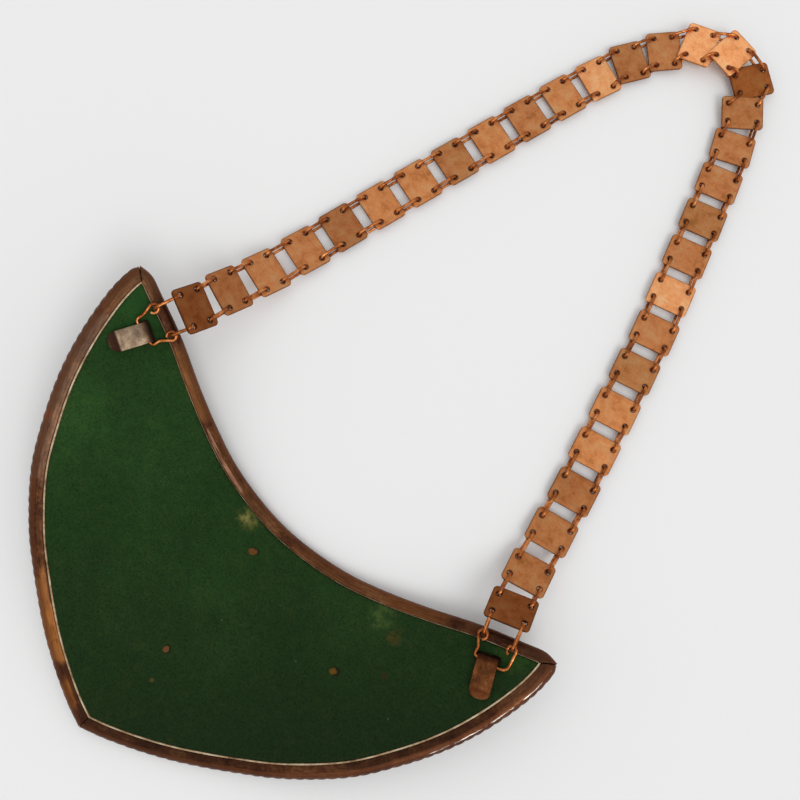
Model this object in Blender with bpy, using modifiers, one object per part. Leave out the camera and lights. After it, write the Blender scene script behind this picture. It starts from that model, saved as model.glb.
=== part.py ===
"""A copper neck gorget with a felt lined back, lying face down beside its plate chain.

X runs from the gorget's left corner to its right one as the back shows them, Y from the tip
to the neck and on to the chain, and Z up. Lengths are in metres.
"""
import math

import bmesh
import bpy
from mathutils import Matrix, Vector

MM = 0.001
GAP = 0.3 * MM

# Gorget sheet
SPAN = 215.6 * MM
TIP_DEPTH = 138.3 * MM
NECK_DEPTH = 33.3 * MM
TIP_LEAN = -4.5 * MM
BOW_RISE = 22.0 * MM
SIDE_ROLL = math.radians(3.2)
SHEET_THICKNESS = 0.8 * MM

# Hems and edge bead
HEM_SIDE_WIDTH = 5.2 * MM
HEM_NECK_WIDTH = 3.9 * MM
HEM_THICKNESS = 0.7 * MM
BEAD_SIDE_WIDTH = 4.6 * MM
BEAD_NECK_WIDTH = 2.4 * MM
BEAD_DEPTH = 1.6 * MM

# Lining
FELT_THICKNESS = 1.9 * MM
EDGING_WIDTH = 0.7 * MM

# Hooks
HOOK_WIDTH = 7.9 * MM
HOOK_THICKNESS = 0.9 * MM
HOOK_FLAT = 12.6 * MM
HOOK_NOSE = 3.6 * MM
HOOK_DROP = 1.3 * MM
HOOK_FOOT = 2.0 * MM
HOOK_X = 88.9 * MM
HOOK_Y = -14.2 * MM
HOOK_SPLAY = math.radians(27.0)

# Bails
BAIL_WIRE = 1.2 * MM
BAIL_REACH = 8.1 * MM
BAIL_SPREAD = 12.1 * MM
BAIL_TURN = math.radians(14.0)
BAIL_TILT = math.radians(15.0)
BAIL_EYE_RADIUS = 1.75 * MM
BAIL_EYE_START = math.radians(60.0)
BAIL_EYE_TURN = math.radians(280.0)
BAIL_EYE_STEPS = 9

# Chain plates and rings
LINK_COUNT = 31
LINK_LENGTH = 14.5 * MM
LINK_WIDTH = 18.0 * MM
LINK_THICKNESS = 0.85 * MM
LINK_CORNER = 1.7 * MM
HOLE_RADIUS = 1.25 * MM
HOLE_SIDES = 6
HOLE_SPACING_LONG = 7.8 * MM
HOLE_SPACING_WIDE = 12.7 * MM
RING_WIRE = 1.1 * MM
RING_HALF_HEIGHT = 1.6 * MM
RING_TAUT = 10.8 * MM
RING_SLACK_RISE = 0.18
WIRE_SIDES = 5
ARC_STEPS = 4

# Half of the lower outline from the tip to a corner
SIDE_SHAPE = (
    # share of tip depth, share of half span
    (1.000, 0.000),
    (0.974, 0.097),
    (0.930, 0.219),
    (0.877, 0.338),
    (0.802, 0.476),
    (0.714, 0.616),
    (0.592, 0.760),
    (0.464, 0.860),
    (0.348, 0.930),
    (0.230, 0.978),
    (0.110, 1.008),
    (0.030, 1.012),
    (0.000, 1.000),
)

# Half of the neck edge from its deepest point to a corner
NECK_SHAPE = (
    # share of half span, share of neck depth
    (0.000, 1.000),
    (0.140, 0.967),
    (0.287, 0.874),
    (0.430, 0.715),
    (0.574, 0.514),
    (0.740, 0.252),
    (0.889, 0.060),
    (0.950, -0.012),
    (1.000, 0.000),
)

# The chain's route: chosen plates, with those between them spaced evenly
CHAIN_ROUTE = (
    # plate, x mm, y mm, centre height mm, heading, nose up, left side up
    (1, -81.2, 3.4, 25.7, 79.0, -37.0, 20.0),
    (2, -80.2, 18.6, 15.2, 80.0, -32.0, 14.0),
    (3, -77.4, 35.2, 7.2, 78.0, -21.0, 6.0),
    (4, -73.8, 53.9, 3.0, 76.5, -7.5, 2.0),
    (5, -69.8, 72.0, 2.2, 76.0, -1.0, 0.0),
    (11, -42.6, 181.0, 2.2, 74.5, 0.0, 0.0),
    (12, -37.5, 198.6, 2.2, 71.0, 0.0, 0.0),
    (13, -32.5, 214.2, 2.2, 59.0, 0.0, 0.0),
    (14, -25.0, 228.6, 2.6, 46.0, 6.0, 0.0),
    (15, -15.4, 240.1, 5.2, 20.0, 4.0, 2.0),
    (16, -2.4, 246.5, 6.5, -5.0, -4.0, -1.0),
    (17, 12.0, 244.0, 3.5, -33.0, -5.5, 0.0),
    (18, 18.6, 229.8, 3.5, -50.0, -5.0, 1.0),
    (19, 25.8, 214.9, 2.2, -65.0, 0.0, 0.0),
    (20, 31.8, 198.2, 2.2, -70.0, 0.0, 0.0),
    (24, 54.4, 128.3, 2.2, -73.0, 0.0, 0.0),
    (28, 73.4, 55.9, 2.2, -76.0, 1.0, 0.0),
    (29, 77.2, 37.6, 3.2, -77.0, 7.0, 2.0),
    (30, 80.6, 19.1, 7.0, -78.0, 19.5, 7.0),
    (31, 83.4, 3.8, 16.2, -76.0, 32.0, 14.0),
)

SIDE_STEPS = 11
FINE_STEPS = 96

SHEET_TOP = SHEET_THICKNESS / 2
FELT_BOTTOM = SHEET_TOP + GAP
FELT_TOP = FELT_BOTTOM + FELT_THICKNESS
HEM_TOP = FELT_TOP - 0.2 * MM
BOW_RADIUS = ((SPAN / 2) ** 2 + BOW_RISE ** 2) / (2 * BOW_RISE)

COPPER = (0.36, 0.15, 0.065)
DARK_COPPER = (0.16, 0.075, 0.035)
GREEN_FELT = (0.013, 0.040, 0.011)
CREAM = (0.50, 0.43, 0.33)


def clear_scene():
    for item in list(bpy.data.objects):
        bpy.data.objects.remove(item, do_unlink=True)


def collection(name):
    group = bpy.data.collections.new(name)
    bpy.context.scene.collection.children.link(group)
    return group


def material(name, colour, roughness, metallic):
    surface = bpy.data.materials.new(name)
    surface.use_nodes = True
    shader = surface.node_tree.nodes["Principled BSDF"]
    shader.inputs["Base Color"].default_value = (*colour, 1.0)
    shader.inputs["Roughness"].default_value = roughness
    shader.inputs["Metallic"].default_value = metallic
    surface.diffuse_color = (*colour, 1.0)
    return surface


def add_object(name, data, group, surface=None, parent=None):
    item = bpy.data.objects.new(name, data)
    group.objects.link(item)
    if surface:
        data.materials.append(surface)
    item.parent = parent
    return item


def smooth_line(points, count):
    """Points spaced evenly along a smooth curve through the given ones."""
    points = [Vector(p) for p in points]
    before = points[0] * 2 - points[1]
    after = points[-1] * 2 - points[-2]
    ring = [before, *points, after]
    fine = [points[0]]
    for a, b, c, d in zip(ring, ring[1:], ring[2:], ring[3:]):
        for step in range(1, 9):
            t = step / 8
            fine.append(
                (b * 2 + (c - a) * t + (a * 2 - b * 5 + c * 4 - d) * t * t
                 + (b * 3 - a - c * 3 + d) * t ** 3) / 2
            )
    return even_points(fine, count)


def even_points(line, count):
    """Resample a polyline to count steps of equal length."""
    lengths = [0.0]
    for a, b in zip(line, line[1:]):
        lengths.append(lengths[-1] + (b - a).length)
    result = []
    index = 0
    for step in range(count + 1):
        target = lengths[-1] * step / count
        while index < len(line) - 2 and lengths[index + 1] < target:
            index += 1
        part = (target - lengths[index]) / (lengths[index + 1] - lengths[index])
        result.append(line[index].lerp(line[index + 1], min(part, 1.0)))
    return result


def outline_edges():
    """The three edges in plan, counterclockwise: right side, neck, left side."""
    right = smooth_line([(w * SPAN / 2, -d * TIP_DEPTH) for d, w in SIDE_SHAPE], FINE_STEPS)
    half = [(w * SPAN / 2, -d * NECK_DEPTH) for w, d in NECK_SHAPE]
    neck = smooth_line([*reversed(half), *[(-x, y) for x, y in half[1:]]], 2 * FINE_STEPS)
    left = [Vector((-p.x, p.y)) for p in reversed(right)]
    return right, neck, left


def moved_in(line, inset):
    """The line moved to its left by inset, with both ends carried on past the corners."""
    result = []
    for index, point in enumerate(line):
        ahead = line[min(index + 1, len(line) - 1)]
        behind = line[max(index - 1, 0)]
        run = (ahead - behind).normalized()
        result.append(point + Vector((-run.y, run.x)) * inset)
    reach = abs(inset) + MM
    result[0] = result[0] - (result[1] - result[0]).normalized() * reach
    result[-1] = result[-1] + (result[-1] - result[-2]).normalized() * reach
    return result


def crossing(a, b, c, d):
    """Where segment ab meets segment cd, as a share of each, or None."""
    ab, cd, ac = b - a, d - c, c - a
    turn = ab.cross(cd)
    if abs(turn) < 1e-15:
        return None
    along_ab = ac.cross(cd) / turn
    along_cd = ac.cross(ab) / turn
    if 0 <= along_ab <= 1 and 0 <= along_cd <= 1:
        return a + ab * along_ab
    return None


def trimmed(first, second):
    """Cut the end of the first line and the start of the second where they meet."""
    for i in range(len(first) - 2, -1, -1):
        for j in range(len(second) - 1):
            corner = crossing(first[i], first[i + 1], second[j], second[j + 1])
            if corner:
                return [*first[:i + 1], corner], [corner, *second[j + 1:]]
    raise ValueError("two edges of the gorget never meet")


def outline_loop(side_inset, neck_inset):
    """The whole outline moved in, as points that run from the tip round and back to it."""
    right, neck, left = outline_edges()
    right, neck, left = moved_in(right, side_inset), moved_in(neck, neck_inset), moved_in(left, side_inset)
    right, neck = trimmed(right, neck)
    neck, left = trimmed(neck, left)
    left, right = trimmed(left, right)
    loop = even_points(right, SIDE_STEPS)[:-1]
    loop += even_points(neck, 2 * SIDE_STEPS)[:-1]
    loop += even_points(left, SIDE_STEPS)[:-1]
    return loop


def on_sheet(x, y, height):
    """A point of the bowed sheet: height is measured square to its middle surface."""
    x += TIP_LEAN * (y / TIP_DEPTH) ** 2
    turn = math.asin(x / BOW_RADIUS)
    reach = BOW_RADIUS - height
    return Vector((math.sin(turn) * reach, y, BOW_RADIUS - math.cos(turn) * reach))


def sheet_frame(x, y, heading):
    """A frame that lies on the sheet, its X axis turned by heading and its Z axis square to it."""
    turn = math.asin((x + TIP_LEAN * (y / TIP_DEPTH) ** 2) / BOW_RADIUS)
    place = Matrix.Translation(on_sheet(x, y, 0.0))
    return place @ Matrix.Rotation(-turn, 4, "Y") @ Matrix.Rotation(heading, 4, "Z")


def add_loops(mesh, sections):
    """Put each section of the outline into the mesh as a ring of vertices."""
    rings = []
    for side_inset, neck_inset, height in sections:
        loop = outline_loop(side_inset, neck_inset)
        rings.append([mesh.verts.new(on_sheet(p.x, p.y, height)) for p in loop])
    return rings


def bridge(mesh, first, second):
    count = len(first)
    for i in range(count):
        j = (i + 1) % count
        mesh.faces.new((first[i], first[j], second[j], second[i]))


def close_middle(mesh, ring, section, flip):
    """Fill a ring with columns that run from the lower edge to the neck edge."""
    height = section[2]
    count = len(ring)
    low = [ring[(i - SIDE_STEPS) % count] for i in range(2 * SIDE_STEPS + 1)]
    high = [ring[(3 * SIDE_STEPS - i) % count] for i in range(2 * SIDE_STEPS + 1)]
    flat = outline_loop(section[0], section[1])
    rows = [low]
    middle = [low[0]]
    for i in range(1, 2 * SIDE_STEPS):
        a = flat[(i - SIDE_STEPS) % count]
        b = flat[(3 * SIDE_STEPS - i) % count]
        centre = (a + b) / 2
        middle.append(mesh.verts.new(on_sheet(centre.x, centre.y, height)))
    middle.append(low[-1])
    rows.append(middle)
    rows.append(high)
    for lower, upper in zip(rows, rows[1:]):
        for i in range(2 * SIDE_STEPS):
            corners = []
            for vertex in (lower[i], lower[i + 1], upper[i + 1], upper[i]):
                if vertex not in corners:
                    corners.append(vertex)
            mesh.faces.new(reversed(corners) if flip else corners)


def finished_mesh(mesh, name):
    bmesh.ops.recalc_face_normals(mesh, faces=mesh.faces)
    data = bpy.data.meshes.new(name)
    mesh.to_mesh(data)
    mesh.free()
    data.shade_smooth()
    data.set_sharp_from_angle(angle=math.radians(35))
    return data


def build_gorget_plate(group, surface, parent):
    """One sheet: the front with its edge bead, folded back as a hem on all three edges."""
    under_hem = HEM_TOP - HEM_THICKNESS
    fold = 1.5 * SHEET_THICKNESS
    bead_low = -SHEET_TOP - BEAD_DEPTH
    sections = (
        # side inset, neck inset, height
        (BEAD_SIDE_WIDTH, BEAD_NECK_WIDTH, -SHEET_TOP),
        (BEAD_SIDE_WIDTH * 0.75, BEAD_NECK_WIDTH * 0.7, bead_low * 0.9),
        (BEAD_SIDE_WIDTH * 0.35, BEAD_NECK_WIDTH * 0.3, bead_low),
        (0.0, 0.0, -SHEET_TOP),
        (0.1 * MM, 0.1 * MM, under_hem),
        (HEM_THICKNESS, HEM_THICKNESS, HEM_TOP),
        (HEM_SIDE_WIDTH, HEM_NECK_WIDTH, HEM_TOP),
        (HEM_SIDE_WIDTH, HEM_NECK_WIDTH, under_hem),
        (fold, fold, under_hem),
        (fold, fold, SHEET_TOP),
    )
    mesh = bmesh.new()
    rings = add_loops(mesh, sections)
    for first, second in zip(rings, rings[1:]):
        bridge(mesh, first, second)
    close_middle(mesh, rings[0], sections[0], flip=True)
    close_middle(mesh, rings[-1], sections[-1], flip=False)
    return add_object("gorget_plate", finished_mesh(mesh, "gorget_plate"), group, surface, parent)


def build_lining_edging(group, surface, parent):
    """The thin cream band that stands between the hems and the felt."""
    side_out = HEM_SIDE_WIDTH + GAP
    neck_out = HEM_NECK_WIDTH + GAP
    side_in = side_out + EDGING_WIDTH
    neck_in = neck_out + EDGING_WIDTH
    sections = (
        (side_out, neck_out, FELT_BOTTOM),
        (side_out, neck_out, FELT_TOP),
        (side_in, neck_in, FELT_TOP),
        (side_in, neck_in, FELT_BOTTOM),
    )
    mesh = bmesh.new()
    rings = add_loops(mesh, sections)
    for first, second in zip(rings, [*rings[1:], rings[0]]):
        bridge(mesh, first, second)
    return add_object("lining_edging", finished_mesh(mesh, "lining_edging"), group, surface, parent)


def build_lining_felt(group, surface, parent, frames):
    """The felt sheet, with a slot for the foot of each hook."""
    side_in = HEM_SIDE_WIDTH + EDGING_WIDTH + 2 * GAP
    neck_in = HEM_NECK_WIDTH + EDGING_WIDTH + 2 * GAP
    sections = ((side_in, neck_in, FELT_BOTTOM), (side_in, neck_in, FELT_TOP))
    mesh = bmesh.new()
    rings = add_loops(mesh, sections)
    bridge(mesh, rings[0], rings[1])
    close_middle(mesh, rings[0], sections[0], flip=True)
    close_middle(mesh, rings[1], sections[1], flip=False)
    felt = add_object("lining_felt", finished_mesh(mesh, "lining_felt"), group, surface, parent)
    cutters = [slot_cutter(frame, group) for frame in frames]
    merge(felt, cutters, "DIFFERENCE")
    return felt


def slot_cutter(frame, group):
    """A box a little larger than the hook's foot."""
    foot = HOOK_FOOT + 2 * HOOK_THICKNESS + 2 * GAP
    mesh = bmesh.new()
    bmesh.ops.create_cube(mesh, size=1.0)
    bmesh.ops.scale(mesh, vec=(foot, HOOK_WIDTH + 2 * GAP, 4 * FELT_TOP), verts=mesh.verts)
    bmesh.ops.translate(mesh, vec=(foot / 2 - GAP, 0.0, FELT_BOTTOM), verts=mesh.verts)
    bmesh.ops.transform(mesh, matrix=frame, verts=mesh.verts)
    data = bpy.data.meshes.new("slot_cutter")
    mesh.to_mesh(data)
    mesh.free()
    return add_object("slot_cutter", data, group)


def merge(item, others, operation):
    """Apply a Boolean with each of the other objects, which are then removed."""
    for other in others:
        change = item.modifiers.new("merge", "BOOLEAN")
        change.operation = operation
        change.solver = "EXACT"
        change.object = other
    bpy.context.view_layer.update()
    graph = bpy.context.evaluated_depsgraph_get()
    data = bpy.data.meshes.new_from_object(item.evaluated_get(graph))
    item.modifiers.clear()
    item.data = data
    for other in others:
        bpy.data.objects.remove(other, do_unlink=True)


def hook_frame(side):
    """The hook's frame on the sheet: X runs from the fold to the nose, away from the chain."""
    heading = -math.pi / 2 + side * HOOK_SPLAY
    return sheet_frame(side * HOOK_X, HOOK_Y, heading)


def hook_levels():
    """Heights of the hook's middle line at its foot and along its flat."""
    foot = FELT_BOTTOM + HOOK_THICKNESS / 2
    flat = FELT_TOP + GAP + BAIL_WIRE + GAP + HOOK_THICKNESS / 2
    return foot, flat


def hook_stations():
    foot, flat = hook_levels()
    half = HOOK_THICKNESS / 2
    width = HOOK_WIDTH / 2
    nose = HOOK_FLAT + HOOK_NOSE
    return (
        # along, height, half width
        (half + HOOK_FOOT, foot, width),
        (half + half, foot, width),
        (half + half * 0.3, foot + half * 0.5, width),
        (half, foot + 1.6 * half, width),
        (half, flat - 1.8 * half, width),
        (half + half * 0.5, flat - 0.6 * half, width),
        (half + half * 1.6, flat, width),
        (HOOK_FLAT, flat, width),
        (HOOK_FLAT + HOOK_NOSE * 0.62, flat - HOOK_DROP * 0.85, width * 0.98),
        (nose - HOOK_WIDTH * 0.10, flat - HOOK_DROP * 0.97, width * 0.70),
        (nose, flat - HOOK_DROP, width * 0.34),
    )


def build_hook(name, frame, group, surface, parent):
    """A strip folded over at the chain side, with its free end bent down to the felt."""
    mesh = bmesh.new()
    rows = []
    for along, height, half_width in hook_stations():
        ends = (Vector((along, -half_width, height)), Vector((along, half_width, height)))
        rows.append([mesh.verts.new(frame @ end) for end in ends])
    for first, second in zip(rows, rows[1:]):
        mesh.faces.new((first[0], second[0], second[1], first[1]))
    data = bpy.data.meshes.new(name)
    mesh.to_mesh(data)
    mesh.free()
    hook = add_object(name, data, group, surface, parent)
    wall = hook.modifiers.new("strip", "SOLIDIFY")
    wall.thickness = HOOK_THICKNESS
    wall.offset = 0.0
    wall.use_even_offset = True
    return hook


def bail_frame(side):
    """The bail's frame: its bar lies inside the fold, and its eyes rise clear of the hem."""
    along = HOOK_THICKNESS + GAP + BAIL_WIRE / 2 + math.tan(BAIL_TURN) * HOOK_WIDTH / 2
    height = FELT_TOP + GAP + BAIL_WIRE / 2
    place = Matrix.Translation((along, 0.0, height))
    turn = Matrix.Rotation(-side * BAIL_TURN, 4, "Z")
    return hook_frame(side) @ place @ turn @ Matrix.Rotation(BAIL_TILT, 4, "Y")


def bail_eye(side):
    """The centre of one of the eyes in the bail's frame."""
    return Vector((-BAIL_REACH, side * BAIL_SPREAD / 2, 0.0))


def bail_half(side):
    """The bail from its bar to the end of one eye."""
    eye = bail_eye(side)
    elbow = HOOK_WIDTH / 2 + GAP + BAIL_WIRE * 0.7
    points = [
        Vector((0.0, side * (elbow - BAIL_WIRE * 0.7), 0.0)),
        Vector((-BAIL_WIRE * 0.3, side * elbow, 0.0)),
    ]
    for step in range(BAIL_EYE_STEPS + 1):
        turn = BAIL_EYE_START + BAIL_EYE_TURN * step / BAIL_EYE_STEPS
        sweep = Vector((math.cos(turn), side * math.sin(turn), 0.0))
        points.append(eye + sweep * BAIL_EYE_RADIUS)
    return points


def wire_section(group, width):
    """The outline of a wire, as a guide for a curve's bevel."""
    curve = bpy.data.curves.new("wire_section", "CURVE")
    curve.dimensions = "2D"
    curve.fill_mode = "NONE"
    line = curve.splines.new("POLY")
    line.points.add(WIRE_SIDES - 1)
    for i, point in enumerate(line.points):
        turn = 2 * math.pi * i / WIRE_SIDES
        point.co = (math.cos(turn) * width / 2, math.sin(turn) * width / 2, 0.0, 1.0)
    line.use_cyclic_u = True
    return add_object("wire_section", curve, group)


def wire_mesh(name, points, width, closed, group):
    """A wire swept along the points, as a mesh."""
    section = wire_section(group, width)
    curve = bpy.data.curves.new(name, "CURVE")
    curve.dimensions = "3D"
    curve.bevel_mode = "OBJECT"
    curve.bevel_object = section
    curve.use_fill_caps = not closed
    line = curve.splines.new("POLY")
    line.points.add(len(points) - 1)
    for spot, point in zip(line.points, points):
        spot.co = (*point, 1.0)
    line.use_cyclic_u = closed
    guide = add_object(name, curve, group)
    data = mesh_of(guide, name)
    bpy.data.objects.remove(section, do_unlink=True)
    return data


def mesh_of(guide, name):
    """Turn a curve object into a welded mesh and remove the curve."""
    bpy.context.view_layer.update()
    graph = bpy.context.evaluated_depsgraph_get()
    data = bpy.data.meshes.new_from_object(guide.evaluated_get(graph))
    bpy.data.objects.remove(guide, do_unlink=True)
    mesh = bmesh.new()
    mesh.from_mesh(data)
    bmesh.ops.remove_doubles(mesh, verts=mesh.verts, dist=0.001 * MM)
    bmesh.ops.recalc_face_normals(mesh, faces=mesh.faces)
    mesh.to_mesh(data)
    mesh.free()
    data.name = name
    return data


def build_bail(name, frame, group, helpers, surface, parent):
    points = [*reversed(bail_half(-1)), *bail_half(1)]
    data = wire_mesh(name, [frame @ p for p in points], BAIL_WIRE, False, helpers)
    return add_object(name, data, group, surface, parent)


def route_row(number):
    """The route's values at a plate, evenly between the chosen plates on each side of it."""
    for first, second in zip(CHAIN_ROUTE, CHAIN_ROUTE[1:]):
        if first[0] <= number <= second[0]:
            part = (number - first[0]) / (second[0] - first[0])
            return [a + (b - a) * part for a, b in zip(first, second)]
    return CHAIN_ROUTE[-1]


def link_frame(number):
    """A plate's frame: X runs on along the chain, Y to its left and Z up."""
    _, x, y, height, heading, nose_up, left_up = route_row(number)
    return (
        Matrix.Translation((x * MM, y * MM, height * MM))
        @ Matrix.Rotation(math.radians(heading), 4, "Z")
        @ Matrix.Rotation(math.radians(-nose_up), 4, "Y")
        @ Matrix.Rotation(math.radians(left_up), 4, "X")
    )


def plate_outline():
    x, y, cut = LINK_LENGTH / 2, LINK_WIDTH / 2, LINK_CORNER * 0.6
    return [
        (x - cut, -y), (x, -y + cut), (x, y - cut), (x - cut, y),
        (cut - x, y), (-x, y - cut), (-x, cut - y), (cut - x, -y),
    ]


def hole_outline(x, y):
    points = []
    for i in range(HOLE_SIDES):
        turn = 2 * math.pi * (i + 0.5) / HOLE_SIDES
        points.append((x + math.cos(turn) * HOLE_RADIUS, y + math.sin(turn) * HOLE_RADIUS))
    return points


def open_holes():
    """The two holes that the rings of the plate before pass through; its own rings fill the others."""
    return [(-HOLE_SPACING_LONG / 2, side * HOLE_SPACING_WIDE / 2) for side in (-1, 1)]


def add_outline(curve, points):
    line = curve.splines.new("POLY")
    line.points.add(len(points) - 1)
    for spot, (x, y) in zip(line.points, points):
        spot.co = (x, y, 0.0, 1.0)
    line.use_cyclic_u = True


def plate_mesh(group):
    """One flat plate with clipped corners and its two open holes."""
    curve = bpy.data.curves.new("plate", "CURVE")
    curve.dimensions = "2D"
    curve.fill_mode = "BOTH"
    curve.extrude = LINK_THICKNESS / 2
    add_outline(curve, plate_outline())
    for x, y in open_holes():
        add_outline(curve, hole_outline(x, y))
    return mesh_of(add_object("plate", curve, group), "plate")


def plate_end(frame, end, side):
    """Where a ring passes a plate: the middle of the hole, and the plate's upward normal."""
    point = Vector((end * HOLE_SPACING_LONG / 2, side * HOLE_SPACING_WIDE / 2, 0.0))
    return frame @ point, frame.to_3x3() @ Vector((0.0, 0.0, 1.0))


def eye_end(frame, side):
    """Where a ring passes an eye of a bail: the middle of the wire it holds, and its normal."""
    point = bail_eye(side) - Vector((BAIL_EYE_RADIUS, 0.0, 0.0))
    return frame @ point, frame.to_3x3() @ Vector((0.0, 0.0, 1.0))


def ring_points(first, second, holds_eye):
    """A closed flat ring between two holes, or round the wire of an eye at its second end."""
    run = second[0] - first[0]
    along = run.normalized()
    up = first[1] + second[1]
    up = (up - along * up.dot(along)).normalized()
    radius = RING_HALF_HEIGHT
    if holds_eye:
        run += along * radius
    else:
        radius += max(RING_TAUT - run.length, 0.0) * RING_SLACK_RISE
    points = []
    for spot, way in ((first[0], 1), (first[0] + run, -1)):
        for step in range(ARC_STEPS + 1):
            turn = math.pi * step / ARC_STEPS
            inward = along * way * radius * (1 - math.sin(turn))
            points.append(spot + inward - up * way * radius * math.cos(turn))
    return points


def build_links(group, helpers, surface, parent, left_eyes, right_eyes):
    frames = [link_frame(number) for number in range(1, LINK_COUNT + 1)]
    plate = plate_mesh(helpers)
    links = []
    for index, frame in enumerate(frames):
        name = f"chain_link_{index + 1:02d}"
        pairs = []
        for side in (-1, 1):
            here = plate_end(frame, 1, side)
            if index + 1 < LINK_COUNT:
                pairs.append((here, plate_end(frames[index + 1], -1, side), False))
            else:
                pairs.append((here, right_eyes[side], True))
            if index == 0:
                pairs.append((plate_end(frame, -1, side), left_eyes[side], True))
        back = frame.inverted()
        rings = []
        for ends in pairs:
            points = [back @ p for p in ring_points(*ends)]
            data = wire_mesh("ring", points, RING_WIRE, True, helpers)
            rings.append(add_object("ring", data, helpers))
        link = add_object(name, plate.copy(), group, surface, parent)
        merge(link, rings, "UNION")
        link.matrix_local = frame
        links.append(link)
    bpy.data.meshes.remove(plate)
    return links


def world_box(items):
    """The lowest and highest corners of all the pieces as they stand."""
    bpy.context.view_layer.update()
    graph = bpy.context.evaluated_depsgraph_get()
    low = Vector((1e9, 1e9, 1e9))
    high = -low
    for item in items:
        shape = item.evaluated_get(graph)
        data = shape.to_mesh()
        for vertex in data.vertices:
            place = item.matrix_world @ vertex.co
            low = Vector(map(min, low, place))
            high = Vector(map(max, high, place))
        shape.to_mesh_clear()
    return low, high


def build():
    clear_scene()
    group = collection("gorget")
    helpers = collection("helpers")
    copper = material("worn_copper", COPPER, 0.42, 1.0)
    dark_copper = material("dark_copper", DARK_COPPER, 0.45, 1.0)
    felt_green = material("green_felt", GREEN_FELT, 0.95, 0.0)
    cream = material("cream_edging", CREAM, 0.8, 0.0)

    root = add_object("gorget_root", None, group)
    body = add_object("gorget_body", None, group, parent=root)
    chain = add_object("chain", None, group, parent=root)

    left_frame, right_frame = hook_frame(-1), hook_frame(1)
    pieces = [
        build_gorget_plate(group, dark_copper, body),
        build_lining_edging(group, cream, body),
        build_lining_felt(group, felt_green, body, (left_frame, right_frame)),
        build_hook("hook_left", left_frame, group, dark_copper, body),
        build_hook("hook_right", right_frame, group, dark_copper, body),
        build_bail("bail_left", bail_frame(-1), group, helpers, dark_copper, body),
        build_bail("bail_right", bail_frame(1), group, helpers, dark_copper, body),
    ]
    body.rotation_euler = (0.0, SIDE_ROLL, 0.0)
    low, _ = world_box(pieces)
    body.location.z = -low.z
    bpy.context.view_layer.update()

    left_bail = body.matrix_world @ bail_frame(-1)
    right_bail = body.matrix_world @ bail_frame(1)
    left_eyes = {side: eye_end(left_bail, -side) for side in (-1, 1)}
    right_eyes = {side: eye_end(right_bail, side) for side in (-1, 1)}
    pieces += build_links(group, helpers, copper, chain, left_eyes, right_eyes)

    low, high = world_box(pieces)
    root.location = (-(low.x + high.x) / 2, -(low.y + high.y) / 2, -low.z)


build()
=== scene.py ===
# %% [markdown]
# # A copper neck gorget, seen from its felt lined back
#
# A gorget is a crescent of sheet metal that hung on the chest, just below the throat. Its plate
# chain went round the neck and hooked on at both corners. This lesson dresses the plain CAD model
# of one: each cell makes one piece or one finish, and says why it is made that way.

from math import asin, cos, degrees, pi, radians, sin, tan

import bmesh
import bpy
from mathutils import Matrix, Vector, noise


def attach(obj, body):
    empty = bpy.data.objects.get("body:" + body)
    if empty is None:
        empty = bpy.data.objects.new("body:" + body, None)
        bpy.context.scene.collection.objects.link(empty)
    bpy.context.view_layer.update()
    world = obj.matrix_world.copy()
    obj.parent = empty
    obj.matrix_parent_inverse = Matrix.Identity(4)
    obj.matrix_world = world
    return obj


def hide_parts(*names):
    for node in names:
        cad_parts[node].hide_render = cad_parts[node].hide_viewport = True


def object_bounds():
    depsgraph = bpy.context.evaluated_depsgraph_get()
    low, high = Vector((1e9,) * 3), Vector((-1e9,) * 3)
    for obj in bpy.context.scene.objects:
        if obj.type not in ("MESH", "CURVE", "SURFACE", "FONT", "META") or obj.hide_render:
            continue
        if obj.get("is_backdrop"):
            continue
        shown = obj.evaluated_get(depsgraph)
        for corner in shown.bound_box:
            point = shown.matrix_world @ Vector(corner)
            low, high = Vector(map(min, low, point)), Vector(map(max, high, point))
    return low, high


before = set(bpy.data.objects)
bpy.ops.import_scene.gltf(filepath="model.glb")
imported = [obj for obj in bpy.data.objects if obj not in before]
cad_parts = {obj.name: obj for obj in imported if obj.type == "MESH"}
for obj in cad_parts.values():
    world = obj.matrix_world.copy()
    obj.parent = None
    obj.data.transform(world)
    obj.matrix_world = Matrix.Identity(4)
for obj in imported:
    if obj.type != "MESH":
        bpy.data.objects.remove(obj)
cad_low, cad_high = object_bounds()
MM = 0.001
scene = bpy.context.scene
print("CAD box in mm:", [round(side / MM, 1) for side in cad_high - cad_low])

# %% [markdown]
# ## Camera, floor and light
#
# The photograph looks almost straight down from about 36 cm, so the camera stands above the
# floor, leans by 10.6 degrees and is turned until the chain runs to the upper right. A lens of
# 40.5 mm on a 36 mm sensor gives the photograph's field of view.

# %% Camera
CAMERA_PLACE = (0.0312, -0.0808, 0.360)
CAMERA_LEAN = radians(10.6)
LEAN_AXIS = Vector((0.8534, 0.5211, 0.0))
CAMERA_TURN = radians(43.41)


def placed(name, data):
    """A new object of the scene."""
    made = bpy.data.objects.new(name, data)
    scene.collection.objects.link(made)
    return made


lens = bpy.data.cameras.new("camera")
lens.lens = 40.5
lens.sensor_width = 36.0
camera = placed("camera", lens)
camera.matrix_world = (
    Matrix.Translation(CAMERA_PLACE) @ Matrix.Rotation(CAMERA_LEAN, 4, LEAN_AXIS)
    @ Matrix.Rotation(CAMERA_TURN, 4, "Z")
)
scene.camera = camera
print("camera height in mm:", round(CAMERA_PLACE[2] / MM))

# %% [markdown]
# A hex colour holds screen values, and Blender's shaders want linear light. One function turns
# the first into the second, and every colour of the lesson goes through it. Another adds a node,
# sets it up and links it. The kinds of node that come back often get a short name of their own.

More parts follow.
